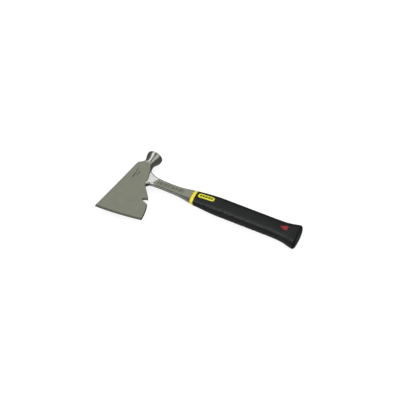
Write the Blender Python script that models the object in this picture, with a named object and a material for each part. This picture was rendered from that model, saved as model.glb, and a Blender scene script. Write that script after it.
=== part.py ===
"""Half hatchet: one-piece forged steel head, shank and forked tang, with a
moulded grip.  Metres, +Z up.

The design frame has its origin where the handle axis crosses the poll axis, in
the middle plane of the blade: +X runs down the handle to the butt, +Y runs from
the cutting edge to the poll, +Z is normal to the cheeks.  Everything hangs from
one empty, which carries the design frame to the row frame: the origin of the row
frame is the middle of the underside of the whole hatchet as it lies flat.
"""

import bpy
import bmesh
import math
from mathutils import Vector

MM = 0.001

# ---------------------------------------------------------------- dimensions, mm
POLL_R = 14.4            # striking face and bell radius
POLL_FACE_Y = 53.2       # striking face, from the handle axis
POLL_X = 0.6             # the poll axis sits this far behind the design origin
POLL_CHAMFER = 1.1       # bevel round the striking face
EDGE_TOE = (-40.0, -92.7)    # front end of the cutting edge
EDGE_HEEL = (46.3, -84.2)    # rear end of the cutting edge
EDGE_BOW = 1.7           # how far the cutting edge bows out of its chord
EDGE_HALF = 0.12         # half thickness left at the cutting edge
BEVEL_W = 3.6            # width of the ground bevel
BLADE_HALF = 1.6         # half thickness where the bevel starts
CHEEK_A, CHEEK_B = 0.0183, 0.000326   # the cheek swells towards the poll
CHEEK_RUNOUT_Y = 28.5    # above this the cheek grinding runs out into the neck

SHOULDER_X = 100.6       # the shank's shoulder that the collar seats on
TANG_HALF_W = 9.0
TANG_HALF_T = 4.0
FORK_HALF_W = 10.0
FORK_X0, FORK_X1 = 222.0, 280.0   # slot root and tine ends
FORK_SLOT_HALF = 3.6
TANG_HOLES = (142.0, 188.0)
TANG_HOLE_R = 3.1

GRIP_X0, GRIP_X1 = 107.6, 299.0
COLLAR_X0, COLLAR_X1 = 101.2, 107.3
GAP = 0.3                # running gap between neighbouring pieces
SUPER_N = 2.6            # exponent of the grip's oval section
FINGER_GROOVES = (165.0, 185.0, 205.0, 225.0, 245.0)
GROOVE_DEPTH, GROOVE_HALF = 0.5, 1.3

BADGE_X0, BADGE_X1, BADGE_HALF, BADGE_Y = 111.8, 142.4, 4.5, 1.2
MARK_X0, MARK_X1, MARK_HALF, MARK_Y = 265.3, 278.7, 5.0, -0.9
POCKET = 1.35            # depth of the pockets in the rubber
PLATE = 1.0              # how far the inlays reach down into them
PROUD = 0.25             # how far they stand proud

LIE_Z = 16.11            # height of the middle plane when the hatchet lies flat
CENTRE_X, CENTRE_Y = 129.5, -19.75   # middle of the outline, from the design origin

# ---------------------------------------------------------------- clean scene
for ob in list(bpy.data.objects):
    bpy.data.objects.remove(ob, do_unlink=True)

root = bpy.data.objects.new("hatchet_axes", None)
bpy.context.scene.collection.objects.link(root)
root.location = (-CENTRE_X * MM, -CENTRE_Y * MM, LIE_Z * MM)


# ---------------------------------------------------------------- helpers
def material(name, colour, rough, metal):
    m = bpy.data.materials.new(name)
    m.use_nodes = True
    p = m.node_tree.nodes["Principled BSDF"]
    p.inputs["Base Color"].default_value = (*colour, 1.0)
    p.inputs["Roughness"].default_value = rough
    p.inputs["Metallic"].default_value = metal
    return m


STEEL = material("forged_steel", (0.40, 0.40, 0.36), 0.38, 1.0)
RUBBER = material("black_rubber", (0.012, 0.012, 0.013), 0.55, 0.0)
YELLOW = material("yellow_nylon", (0.85, 0.66, 0.03), 0.35, 0.0)
RED = material("red_nylon", (0.55, 0.02, 0.03), 0.35, 0.0)
CORE = material("core_nylon", (0.75, 0.62, 0.10), 0.45, 0.0)
DAMPER = material("damper_elastomer", (0.10, 0.10, 0.11), 0.7, 0.0)
PLUG = material("plug_nylon", (0.02, 0.02, 0.022), 0.5, 0.0)


def table(points, x):
    """Smooth curve through (x, value) points: monotone cubic, flat past the ends."""
    n = len(points)
    if x <= points[0][0]:
        return points[0][1]
    if x >= points[-1][0]:
        return points[-1][1]
    i = 0
    while x > points[i + 1][0]:
        i += 1

    def slope(k):
        return (points[k + 1][1] - points[k][1]) / (points[k + 1][0] - points[k][0])

    def tangent(k):
        if k == 0:
            return slope(0)
        if k == n - 1:
            return slope(n - 2)
        a, b = slope(k - 1), slope(k)
        if a * b <= 0:
            return 0.0
        return 2 * a * b / (a + b)

    x0, v0 = points[i]
    x1, v1 = points[i + 1]
    h = x1 - x0
    t = (x - x0) / h
    m0, m1 = tangent(i) * h, tangent(i + 1) * h
    return ((2 * t**3 - 3 * t**2 + 1) * v0 + (t**3 - 2 * t**2 + t) * m0
            + (-2 * t**3 + 3 * t**2) * v1 + (t**3 - t**2) * m1)


def put(name, bm, mat, helper=False, angle=35):
    """Links a bmesh, drawn in millimetres of the design frame, as an object."""
    bmesh.ops.scale(bm, vec=(MM, MM, MM), verts=bm.verts)
    bmesh.ops.recalc_face_normals(bm, faces=bm.faces)
    if bm.calc_volume(signed=True) < 0:
        bmesh.ops.reverse_faces(bm, faces=bm.faces)
    me = bpy.data.meshes.new(name)
    bm.to_mesh(me)
    bm.free()
    me.materials.append(mat)
    me.shade_smooth()
    me.set_sharp_from_angle(angle=math.radians(angle))
    ob = bpy.data.objects.new(name, me)
    bpy.context.scene.collection.objects.link(ob)
    ob.parent = root
    if helper:
        ob.hide_render = True
        ob.display_type = "WIRE"
    return ob


def loft(rings, cap0="ngon", cap1="ngon"):
    """Skins closed rings of equal length, and caps both ends.  A "ladder" cap
    joins the upper half of the ring to the lower half, for a thin curved end."""
    bm = bmesh.new()
    rows = [[bm.verts.new(p) for p in ring] for ring in rings]
    n = len(rows[0])
    for a, b in zip(rows, rows[1:]):
        for i in range(n):
            j = (i + 1) % n
            bm.faces.new((a[i], a[j], b[j], b[i]))
    for row, kind in ((rows[0], cap0), (rows[-1], cap1)):
        if kind == "ngon":
            bm.faces.new(row)
        else:
            for i in range(n // 2 - 1):
                quad = (row[i], row[i + 1], row[n - 2 - i], row[n - 1 - i])
                bm.faces.new(quad)
    return bm


def boolean(ob, cutter, op="DIFFERENCE"):
    m = ob.modifiers.new(f"{op.lower()}_{cutter.name}", "BOOLEAN")
    m.operation = op
    m.solver = "EXACT"
    m.object = cutter
    return m


def prism(outline, z0, z1):
    """Extrudes a closed XY outline from z0 to z1."""
    bm = bmesh.new()
    face = bm.faces.new([bm.verts.new((x, y, z0)) for x, y in outline])
    out = bmesh.ops.extrude_face_region(bm, geom=[face])
    verts = [g for g in out["geom"] if isinstance(g, bmesh.types.BMVert)]
    bmesh.ops.translate(bm, vec=(0, 0, z1 - z0), verts=verts)
    return bm


# ---------------------------------------------------------------- the head
# The outline of the head, front (-X) side and back (+X) side, by height Y.
FRONT = [(-93, -40.1), (-60, -34.3), (-30, -28.7), (0, -23.1), (19, -19.6),
         (22.0, -18.8), (24.3, -17.2), (26.6, -14.7), (29.0, -12.7), (32.0, -11.5),
         (35.0, -11.0), (38.0, -11.0), (41.0, -11.6), (45.0, -13.0), (49.0, -13.8),
         (60, -13.8)]
BACK = [(-84.5, 46.3), (-71, 44.8), (-58, 42.0), (-48, 38.6), (-39.6, 35.6),
        (-27.7, 26.9), (-20.3, 20.9), (-14.5, 16.7), (-11.0, 15.5), (-7.0, 15.6),
        (-3.0, 15.4), (2.0, 14.1), (8.3, 12.1), (16.0, 10.4), (19.5, 9.6),
        (23.0, 8.4), (27.0, 7.8), (31.0, 7.9), (35.0, 8.9), (38.0, 10.2),
        (41.5, 12.0), (45.0, 14.0), (49.0, 15.0), (60, 15.0)]
# Half height of the round neck and bell before the cheeks are ground flat.
ROUND_H = [(19, 8.1), (24, 8.8), (28, 9.2), (33, 9.5), (36, 10.0), (39, 11.2),
           (42, 12.4), (45, 13.6), (49, 14.4), (60, 14.4)]
# How round each side is: 1 is a full round, 0 is a small arris.
FRONT_ROUND = [(25.5, 0.0), (29.0, 0.35), (33.0, 0.85), (37.0, 1.0)]
BACK_ROUND = [(17.5, 0.0), (21.0, 0.25), (25.0, 0.5), (30.0, 0.8), (35.0, 1.0)]
ARRIS = 0.9


def cheek(y):
    s = y - (EDGE_HEEL[1] - 1.8)
    h = BLADE_HALF + CHEEK_A * s + CHEEK_B * s * s
    if y > CHEEK_RUNOUT_Y:
        h += 0.11 * (y - CHEEK_RUNOUT_Y) ** 2
    return h


def rounding(xe, h, hz, full):
    """Crown height, and corner radii across and up, of one side of a section."""
    crown = h + (hz - h) * full
    rz = min(crown, ARRIS + (hz - ARRIS) * full)
    return crown, ARRIS + (abs(xe) - ARRIS) * full, rz


def side(xe, h, hz, full, out, m):
    """The profile of one side of a head section, from its upper crease to its
    lower one: (x, z) points.  out is +1 for the back, -1 for the front."""
    crown, rx, rz = rounding(xe, h, hz, full)
    start = math.asin(min(0.88, max(0.05, (h - (crown - rz)) / rz)))
    pts = []
    for i in range(2 * m):
        a = start * (1 - 2 * i / (2 * m - 1))
        z = math.copysign(crown - rz, a) + rz * math.sin(a)
        pts.append((xe - out * rx * (1 - math.cos(a)), z))
    return pts


def head_ring(yf, yb, m, flat, bow=0.0, thick=None):
    """One section of the head, from its front point at height yf to its back
    point at height yb.  bow drops its middle, thick overrides the thickness."""
    xf, xb = table(FRONT, yf), table(BACK, yb)
    hz = table(ROUND_H, (yf + yb) / 2)
    full_f, full_b = table(FRONT_ROUND, yf), table(BACK_ROUND, yb)

    def half(y):
        h = cheek(y) if thick is None else thick
        return min(h, hz) if full_f > 0 or full_b > 0 else h

    def point(x, z=None):
        t = (x - xf) / (xb - xf)
        y = yf + (yb - yf) * t - bow * 4 * t * (1 - t)
        if z is None:
            z = half(y)
            for xe, full, out in ((xf, full_f, -1), (xb, full_b, 1)):
                crown, rx, rz = rounding(xe, z, hz, full)
                u = 1 - (xe - x) * out / rx
                if u > 0:
                    z = min(z, crown - rz + rz * math.sqrt(max(0.0, 1 - u * u)))
        return Vector((x, y, z))

    back = side(xb, half(yb), hz, full_b, 1, m)
    front = side(xf, half(yf), hz, full_f, -1, m)
    xa, xc = front[0][0], back[0][0]
    cheeks = [point(xa + (xc - xa) * i / (flat + 1)) for i in range(1, flat + 1)]
    ring = [p.copy() for p in cheeks]                 # upper cheek
    ring += [point(x, z) for x, z in back]            # back side, going down
    ring += [Vector((p.x, p.y, -p.z)) for p in reversed(cheeks)]
    ring += [point(x, z) for x, z in reversed(front)]  # front side, going up
    return ring


def head(m=4, flat=7, stations=None):
    rings = []
    # the striking face, its bevel and the bell are turned; a ring of the same
    # number of points follows the same side profile, so it skins on to the rest
    for y, r in ((POLL_FACE_Y, POLL_R - POLL_CHAMFER), (POLL_FACE_Y - POLL_CHAMFER * 0.7, POLL_R)):
        ring = head_ring(50.0, 50.0, m, flat)
        rings.append([Vector((POLL_X + (p.x - POLL_X) * r / POLL_R, y, p.z * r / POLL_R))
                      for p in ring])
    for y in stations or (49, 47, 45.2, 43.6, 42, 40, 38.2, 36.5, 35, 33.5, 32, 30.7, 29.5, 28.4,
                          27.4, 26.2, 25.0, 23, 21, 19, 17, 14, 10, 5, 0, -4, -8, -11,
                          -13, -16, -20, -27, -34):
        rings.append(head_ring(y, y, m, flat))
    # below the shank the sections swing round to lie along the cutting edge
    (tx, ty), (hx, hy) = EDGE_TOE, EDGE_HEEL
    for k in (0.2, 0.4, 0.6, 0.8):
        rings.append(head_ring(-34 + (ty + BEVEL_W + 34) * k, -34 + (hy + BEVEL_W + 34) * k,
                               m, flat, bow=EDGE_BOW * k))
    rings.append(head_ring(ty + BEVEL_W, hy + BEVEL_W, m, flat, bow=EDGE_BOW))
    last = head_ring(ty, hy, m, flat, bow=EDGE_BOW, thick=EDGE_HALF + ARRIS)
    for p in last:
        p.z = math.copysign(EDGE_HALF, p.z)
    rings.append(last)
    # the ladder cap wants each ring to start at the front of the upper face
    shift = m
    rings = [r[-shift:] + r[:-shift] for r in rings]
    return loft(rings, "ngon", "ladder")


# ---------------------------------------------------------------- shank and tang
TOP = [(4.5, 24.9), (8.4, 24.6), (9.3, 21.7), (11, 18.9), (13.4, 16.4), (17, 13.8), (21, 11.9), (26, 10.2),
       (31.7, 9.1), (40, 8.1), (50, 7.6), (60, 7.4), (70, 7.6), (80, 8.5), (90, 9.9),
       (96, 10.9), (SHOULDER_X, 11.7)]
BOTTOM = [(4.5, -15.6), (8, -15.5), (15.5, -15.0), (16.8, -13.2), (18, -11.6), (20, -9.8), (22, -8.8), (26, -7.9),
          (31.7, -7.5), (40, -7.3), (50, -7.4), (60, -7.6), (70, -8.0), (80, -8.8), (90, -10.3),
          (96, -11.4), (SHOULDER_X, -12.2)]
THICK = [(4.5, 3.6), (8, 4.1), (12, 4.4), (16, 4.55), (20, 4.6), (60, 4.6), (80, 5.0),
         (90, 5.5), (96, 5.95), (SHOULDER_X, 6.3)]
CORNER = [(8, 1.2), (20, 1.6), (60, 1.9), (80, 2.3), (90, 2.8), (SHOULDER_X, 3.6)]


def rounded(x, y0, y1, t, r, k, tilt=0.0):
    """A rounded-rectangle section across the handle at x, from y0 up to y1."""
    pts = []
    for cy, cz, a0 in ((y1 - r, t - r, 0), (y0 + r, t - r, 90),
                       (y0 + r, -t + r, 180), (y1 - r, -t + r, 270)):
        for i in range(k):
            a = math.radians(a0 + 90 * i / (k - 1))
            y, z = cy + r * math.cos(a), cz + r * math.sin(a)
            pts.append(Vector((x, y, z * (1 + tilt * y / t))))
    return pts


def shank(k=4):
    rings = []
    for x in (4.5, 8.4, 9, 9.8, 10.8, 12, 13.4, 15.2, 16.2, 17, 18, 19, 20, 21.5, 23.5, 26, 29, 33, 38, 44,
              52, 60, 68, 75, 81, 86, 91, 96, SHOULDER_X):
        tilt = 0.045 * max(0.0, min(1.0, (24 - x) / 12))
        rings.append(rounded(x, table(BOTTOM, x), table(TOP, x), table(THICK, x),
                             table(CORNER, x), k, tilt))
    for x, w, t, r in ((SHOULDER_X + 0.2, 10.6, 5.4, 2.6), (106.5, 10.4, 5.2, 2.4),
                       (110, 9.6, 4.6, 1.8), (114, TANG_HALF_W, TANG_HALF_T, 1.4),
                       (205, TANG_HALF_W, TANG_HALF_T, 1.4), (213, FORK_HALF_W, TANG_HALF_T, 1.4),
                       (FORK_X1 - 3, FORK_HALF_W, TANG_HALF_T, 1.4),
                       (FORK_X1, FORK_HALF_W - 1.5, TANG_HALF_T - 1.0, 1.0)):
        rings.append(rounded(x, -w, w, t, r, k))
    return loft(rings)


# The nail slot in the back of the blade: upper wall, blunt root, lower wall.
NOTCH = [(60, -28.0), (28.2, -41.5), (26.9, -42.3), (26.4, -43.4), (26.7, -44.8),
         (27.7, -46.1), (29.5, -47.0), (60, -59.2)]

body = put("forged_body", head(), STEEL)
shank_h = put("cut_shank", shank(), STEEL, helper=True)
boolean(body, shank_h, "UNION")
notch = put("cut_notch", prism(NOTCH, -12, 12), STEEL, helper=True)
boolean(body, notch)

slot_outline = [(300, -FORK_SLOT_HALF), (300, FORK_SLOT_HALF)]
slot_outline += [(FORK_X0 + FORK_SLOT_HALF - FORK_SLOT_HALF * math.sin(math.radians(a)),
                  FORK_SLOT_HALF * math.cos(math.radians(a))) for a in range(0, 181, 30)]
slot = put("cut_fork_slot", prism(slot_outline, -12, 12), STEEL, helper=True)
boolean(body, slot)


def cylinder_z(name, x, y, r, z0, z1, mat, helper, n=16):
    out = [(x + r * math.cos(2 * math.pi * i / n), y + r * math.sin(2 * math.pi * i / n))
           for i in range(n)]
    return put(name, prism(out, z0, z1), mat, helper)


for i, x in enumerate(TANG_HOLES):
    boolean(body, cylinder_z(f"cut_tang_hole_{i}", x, 0, TANG_HOLE_R, -12, 12, STEEL, True))

# the shallow sunk panel on each side of the shank
for sgn, nm in ((1, "front"), (-1, "rear")):
    outline = []
    xs = [29.5, 31, 34, 40, 50, 60, 70, 80, 88, 91, 92.2]
    for x in xs:
        e = min(table(TOP, x), -table(BOTTOM, x)) - 2.3
        if x < 31:
            e -= 1.6
        elif x > 90:
            e -= 1.6 if x < 92 else 3.4
        outline.append((x, e))
    outline = outline + [(x, -e) for x, e in reversed(outline)]
    bm = bmesh.new()
    lo, hi = [], []
    for x, y in outline:
        z = table(THICK, x) - 0.55
        lo.append(bm.verts.new((x, y, sgn * z)))
        hi.append(bm.verts.new((x, y * 1.03, sgn * (z + 4))))
    n = len(outline)
    half = n // 2
    for i in range(half - 1):
        for row in (lo, hi):
            bm.faces.new((row[i], row[i + 1], row[n - 2 - i], row[n - 1 - i]))
    for i in range(n):
        j = (i + 1) % n
        bm.faces.new((lo[i], lo[j], hi[j], hi[i]))
    boolean(body, put(f"cut_panel_{nm}", bm, STEEL, helper=True))


# ---------------------------------------------------------------- the grip
GRIP_A = [(101, 13.0), (GRIP_X0, 13.7), (114, 14.0), (120, 14.4), (130, 15.1), (140, 15.7),
          (150, 16.1), (250, 16.1), (262, 16.3), (270, 16.8), (278, 17.9), (285, 19.5),
          (291, 21.0), (294.5, 21.6), (GRIP_X1, 21.6)]
GRIP_B = [(101, 8.4), (GRIP_X0, 9.4), (114, 10.2), (120, 10.9), (130, 11.9), (140, 12.7),
          (150, 13.2), (160, 13.4), (250, 13.4), (270, 13.6), (280, 14.3), (288, 15.4),
          (294.5, 16.2), (GRIP_X1, 16.2)]
CORE_A = [(GRIP_X0, 11.5), (120, 11.8), (140, 12.3), (160, 12.6), (250, 12.6), (286, 12.9)]
CORE_B = [(GRIP_X0, 6.7), (120, 7.8), (140, 9.2), (160, 9.9), (250, 9.9), (286, 10.2)]


AXIS_Y = [(96, -0.35), (107, -0.35), (118, -0.1), (126, 0.0), (256, 0.0), (275, -0.3),
          (291, -0.75), (GRIP_X1, -0.75)]     # the grip droops a little at both ends


def oval(x, a, b, n, groove=0.0, yc=0.0):
    """A superelliptic section: n points, flatter on the cheeks.  groove presses
    the finger side (-Y) in, fading out towards the cheeks."""
    pts = []
    e = 2.0 / SUPER_N
    for i in range(n):
        t = 2 * math.pi * (i + 0.5) / n
        c, s = math.cos(t), math.sin(t)
        y = a * math.copysign(abs(c) ** e, c)
        z = b * math.copysign(abs(s) ** e, s)
        if groove and c < 0.1:
            k = groove * min(1.0, max(0.0, (0.1 - c) / 0.75))
            y *= 1 - k / a
            z *= 1 - k / b
        pts.append(Vector((x, yc + y, z)))
    return pts


BUTT_Y = AXIS_Y[-1][1]


def groove_at(x):
    d = 0.0
    for g in FINGER_GROOVES:
        u = abs(x - g) / GROOVE_HALF
        if u < 1:
            d = max(d, GROOVE_DEPTH * (1 - u * u))
    return d


def grip_solid(n, offset=0.0):
    xs = [GRIP_X0 + 0.8, 111, 115, 120, 126, 133, 140, 147, 155, 160]
    for g in FINGER_GROOVES:
        xs += [g - GROOVE_HALF, g - 0.6, g + 0.6, g + GROOVE_HALF]
    xs += [174, 194, 214, 234, 252, 259, 265, 270, 275, 279, 283, 287, 290.5, 293.5]
    rings = [oval(GRIP_X0, table(GRIP_A, GRIP_X0) - 0.7, table(GRIP_B, GRIP_X0) - 0.7, n,
                  0, table(AXIS_Y, GRIP_X0))]
    rings += [oval(x, table(GRIP_A, x), table(GRIP_B, x), n, groove_at(x), table(AXIS_Y, x))
              for x in sorted(xs)]
    r = 4.4                                            # rounding of the butt
    for deg in (18, 36, 54, 70, 84):
        a = math.radians(deg)
        x = GRIP_X1 - r + r * math.sin(a)
        d = r * (1 - math.cos(a))
        rings.append(oval(x, table(GRIP_A, x) - d, table(GRIP_B, x) - d, n, 0, BUTT_Y))
    rings.append(oval(GRIP_X1, 16.6, 11.2, n, 0, BUTT_Y))
    return loft(rings)


def core_solid(n, x0, x1, grow):
    xs = [x0] + [x for x in (114, 120, 130, 140, 150, 160, 250) if x0 < x < x1] + [x1]
    rings = [oval(x, table(CORE_A, x) + grow, table(CORE_B, x) + grow, n) for x in xs]
    return loft(rings)


PLUG_A, PLUG_B = 10.5, 7.4
grip = put("grip_sleeve", grip_solid(32), RUBBER)
boolean(grip, put("cut_core_bore", core_solid(24, GRIP_X0 - 3, 286.3, GAP), RUBBER, helper=True))
boolean(grip, put("cut_plug_hole", loft([oval(283, PLUG_A + GAP, PLUG_B + GAP, 24, 0, BUTT_Y),
                                          oval(303, PLUG_A + GAP, PLUG_B + GAP, 24, 0, BUTT_Y)]),
                  RUBBER, helper=True))


def height(x, y):
    """Height of the grip's surface over (x, y)."""
    a, b, yc = table(GRIP_A, x), table(GRIP_B, x), table(AXIS_Y, x)
    return b * max(0.0, 1 - abs((y - yc) / a) ** SUPER_N) ** (1 / SUPER_N)


def plate(xs, half, yc, lo, hi, ny, sgn, grow=0.0):
    """A plate whose faces follow the grip: at each x it reaches half(x) to each
    side of yc, from lo to hi above the grip's surface."""
    bm = bmesh.new()
    low, top = [], []
    for x in xs:
        e = half(x) + grow
        a, b = [], []
        for j in range(ny + 1):
            y = yc + e * (2 * j / ny - 1)
            z = height(x, y)
            a.append(bm.verts.new((x, y, sgn * (z + lo))))
            b.append(bm.verts.new((x, y, sgn * (z + hi))))
        low.append(a)
        top.append(b)
    n = len(xs)
    for i in range(n - 1):
        for j in range(ny):
            for g in (low, top):
                bm.faces.new((g[i][j], g[i + 1][j], g[i + 1][j + 1], g[i][j + 1]))
        for j in (0, ny):
            bm.faces.new((low[i][j], low[i + 1][j], top[i + 1][j], top[i][j]))
    for i in (0, n - 1):
        for j in range(ny):
            bm.faces.new((low[i][j], low[i][j + 1], top[i][j + 1], top[i][j]))
    return bm


def badge_half(x0, x1, h, r):
    def half(x):
        d = min(x - x0, x1 - x)
        if d >= r:
            return h
        d = max(d, 0.0)
        return h - r + math.sqrt(max(0.0, r * r - (r - d) ** 2))
    return half


def mark_half(x0, x1, h):
    """A plain rounded triangle, its point towards the head."""
    def half(x):
        t = max(0.0, min(1.0, (x - x0) / (x1 - x0)))
        return h * (0.16 + 0.84 * math.sin(min(t / 0.78, 1.0) * math.pi / 2)) if t < 0.78 else \
            h * math.sqrt(max(0.06, 1 - ((t - 0.78) / 0.235) ** 2))
    return half


def stations(x0, x1, r, n):
    """Stations closer together in the rounded ends."""
    ends = [r * (1 - math.cos(math.radians(a))) for a in (0, 22, 45, 67, 90)]
    mid = [x0 + r + (x1 - x0 - 2 * r) * i / n for i in range(1, n)]
    return [x0 + e for e in ends] + mid + [x1 - e for e in reversed(ends)]


for sgn, nm in ((1, "front"), (-1, "rear")):
    g = 0.3
    bx = stations(BADGE_X0 - g, BADGE_X1 + g, 4.3, 5)
    boolean(grip, put(f"cut_badge_{nm}",
                      plate(bx, badge_half(BADGE_X0 - g, BADGE_X1 + g, BADGE_HALF + g, 4.3),
                            BADGE_Y, -POCKET, 4, 4, sgn), RUBBER, helper=True))
    bx = stations(BADGE_X0, BADGE_X1, 4.0, 5)
    put(f"badge_{nm}", plate(bx, badge_half(BADGE_X0, BADGE_X1, BADGE_HALF, 4.0),
                             BADGE_Y, -PLATE, PROUD, 4, sgn), YELLOW)
    mx = [MARK_X0 - g + (MARK_X1 - MARK_X0 + 2 * g) * i / 10 for i in range(11)]
    boolean(grip, put(f"cut_marker_{nm}",
                      plate(mx, mark_half(MARK_X0 - g, MARK_X1 + g, MARK_HALF), MARK_Y,
                            -POCKET, 4, 4, sgn, g), RUBBER, helper=True))
    mx = [MARK_X0 + (MARK_X1 - MARK_X0) * i / 10 for i in range(11)]
    put(f"marker_{nm}", plate(mx, mark_half(MARK_X0, MARK_X1, MARK_HALF), MARK_Y,
                              -PLATE, PROUD, 4, sgn), RED)

# ---------------------------------------------------------------- collar ring
collar = put("collar_ring",
             loft([oval(x, a, b, 32, 0, AXIS_Y[0][1])
                   for x, a, b in ((COLLAR_X0, 12.4, 7.9), (COLLAR_X0 + 0.7, 12.95, 8.6),
                                   (COLLAR_X0 + 3.2, 13.3, 9.05), (COLLAR_X1 - 0.5, 13.4, 9.2),
                                   (COLLAR_X1, 13.1, 8.9))]), YELLOW)
boolean(collar, put("cut_collar_bore",
                    loft([rounded(99, -10.95, 10.95, 5.75, 2.7, 4),
                          rounded(110, -10.95, 10.95, 5.75, 2.7, 4)]), YELLOW, helper=True))

# ---------------------------------------------------------------- core halves
cavity = []
for x, w, t, r in ((104, 10.9, 5.7, 2.7), (107, 10.75, 5.55, 2.5), (110.4, 9.95, 4.95, 2.0),
                   (114.2, TANG_HALF_W + GAP, TANG_HALF_T + GAP, 1.5),
                   (204.6, TANG_HALF_W + GAP, TANG_HALF_T + GAP, 1.5),
                   (211.5, FORK_HALF_W + 0.7, TANG_HALF_T + 0.6, 1.5),
                   (FORK_X1 + 1.5, FORK_HALF_W + 0.7, TANG_HALF_T + 0.6, 1.5)):
    cavity.append(rounded(x, -w, w, t, r, 4))
cavity_cut = put("cut_tang_cavity", loft(cavity), CORE, helper=True)

for sgn, nm in ((1, "front"), (-1, "rear")):
    half = put(f"core_half_{nm}", core_solid(24, GRIP_X0, 286.0, 0.0), CORE)
    boolean(half, cavity_cut)
    z0, z1 = (-30, 0.15) if sgn > 0 else (-0.15, 30)
    boolean(half, put(f"cut_split_{nm}",
                      prism([(90, -30), (300, -30), (300, 30), (90, 30)], z0, z1), CORE, helper=True))
    for i, x in enumerate(TANG_HOLES):
        peg = cylinder_z(f"peg_{nm}_{i}", x, 0, TANG_HOLE_R - GAP, 0.15 if sgn > 0 else -6.2,
                         6.2 if sgn > 0 else -0.15, CORE, True)
        boolean(half, peg, "UNION")

# ---------------------------------------------------------------- fork damper
damper = [(FORK_X0 + 0.4 + 3.2 - 3.2 * math.sin(math.radians(a)), 3.2 * math.cos(math.radians(a)))
          for a in range(0, 181, 30)]
damper += [(250, -3.2), (252, -2.2), (256, -2.2), (258, -3.2), (FORK_X1 - 1, -3.2),
           (FORK_X1 + 0.9, -2.2), (FORK_X1 + 0.9, 2.2), (FORK_X1 - 1, 3.2), (258, 3.2), (256, 2.2), (252, 2.2), (250, 3.2)]
put("fork_damper", prism(damper, -3.9, 3.9), DAMPER)

# ---------------------------------------------------------------- butt plug
put("butt_plug", loft([oval(x, PLUG_A - d, PLUG_B - d, 24, 0, BUTT_Y)
                       for x, d in ((286.6, 0.8), (287.4, 0.0), (298.2, 0.0), (298.9, 0.7))]), PLUG)
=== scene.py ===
import math

import bmesh
import bpy
from mathutils import Matrix, Vector


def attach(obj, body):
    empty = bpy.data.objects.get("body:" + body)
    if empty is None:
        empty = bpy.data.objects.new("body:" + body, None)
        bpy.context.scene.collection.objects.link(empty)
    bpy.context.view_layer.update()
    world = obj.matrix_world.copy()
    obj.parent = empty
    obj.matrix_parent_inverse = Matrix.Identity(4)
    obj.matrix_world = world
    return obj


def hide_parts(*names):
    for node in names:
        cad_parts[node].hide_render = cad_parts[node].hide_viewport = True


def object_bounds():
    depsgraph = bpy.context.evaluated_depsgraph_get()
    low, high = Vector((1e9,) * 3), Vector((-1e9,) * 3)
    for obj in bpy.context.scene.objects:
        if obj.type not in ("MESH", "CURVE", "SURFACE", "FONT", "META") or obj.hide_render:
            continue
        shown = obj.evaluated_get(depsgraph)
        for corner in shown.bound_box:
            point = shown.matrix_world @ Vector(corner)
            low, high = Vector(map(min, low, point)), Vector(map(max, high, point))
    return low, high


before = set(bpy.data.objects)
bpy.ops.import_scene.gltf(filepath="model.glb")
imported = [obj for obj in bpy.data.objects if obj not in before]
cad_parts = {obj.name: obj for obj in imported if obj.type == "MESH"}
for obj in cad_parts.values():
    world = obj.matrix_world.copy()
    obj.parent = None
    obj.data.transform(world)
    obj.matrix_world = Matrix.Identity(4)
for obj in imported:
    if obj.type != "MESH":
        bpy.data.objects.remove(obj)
cad_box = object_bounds()

MM = 0.001
LO, HI = Vector(cad_box[0]), Vector(cad_box[1])

# ------------------------------------------------------------------ dimensions, mm
# The design frame: origin where the handle axis crosses the poll axis, +X down the
# handle, +Y from the cutting edge to the poll, +Z normal to the cheeks.
POLL_R, POLL_FACE_Y, POLL_X, POLL_CHAMFER = 14.4, 53.2, 0.6, 1.1
EDGE_TOE, EDGE_HEEL, EDGE_BOW = (-40.0, -92.7), (46.3, -84.2), 1.7
EDGE_HALF, BEVEL_W, BLADE_HALF = 0.12, 3.6, 1.6
CHEEK_A, CHEEK_B, CHEEK_RUNOUT_Y = 0.0183, 0.000326, 28.5
SHOULDER_X = 100.6
TANG_HALF_W, TANG_HALF_T, FORK_HALF_W = 9.0, 4.0, 10.0
FORK_X0, FORK_X1, FORK_SLOT_HALF = 222.0, 280.0, 3.6
TANG_HOLES, TANG_HOLE_R = (142.0, 188.0), 3.1
GRIP_X0, GRIP_X1 = 107.6, 299.0
COLLAR_X0, COLLAR_X1 = 101.2, 107.3
GAP, SUPER_N = 0.3, 2.6
FINGER_GROOVES = (165.0, 185.0, 205.0, 225.0, 245.0)
GROOVE_DEPTH, GROOVE_HALF = 0.40, 1.6
BADGE_X0, BADGE_X1, BADGE_HALF, BADGE_Y = 111.8, 142.4, 4.5, 1.2
MARK_X0, MARK_X1, MARK_HALF, MARK_Y = 265.3, 278.7, 5.0, -0.9
ORIGIN = Vector((HI.x / MM - GRIP_X1, HI.y / MM - POLL_FACE_Y, (LO.z + HI.z) / 2 / MM))


def row(p):
    """A point of the design frame, in mm, as a point of the row frame, in metres."""
    return (Vector(p) + ORIGIN) * MM


# ------------------------------------------------------------------ helpers
def table(points, x):
    n = len(points)
    if x <= points[0][0]:
        return points[0][1]
    if x >= points[-1][0]:
        return points[-1][1]
    i = 0
    while x > points[i + 1][0]:
        i += 1

    def slope(k):
        return (points[k + 1][1] - points[k][1]) / (points[k + 1][0] - points[k][0])

    def tangent(k):
        if k == 0:
            return slope(0)
        if k == n - 1:
            return slope(n - 2)
        a, b = slope(k - 1), slope(k)
        return 0.0 if a * b <= 0 else 2 * a * b / (a + b)

    x0, v0 = points[i]
    x1, v1 = points[i + 1]
    h = x1 - x0
    t = (x - x0) / h
    m0, m1 = tangent(i) * h, tangent(i + 1) * h
    return ((2 * t**3 - 3 * t**2 + 1) * v0 + (t**3 - 2 * t**2 + t) * m0
            + (-2 * t**3 + 3 * t**2) * v1 + (t**3 - t**2) * m1)


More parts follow.
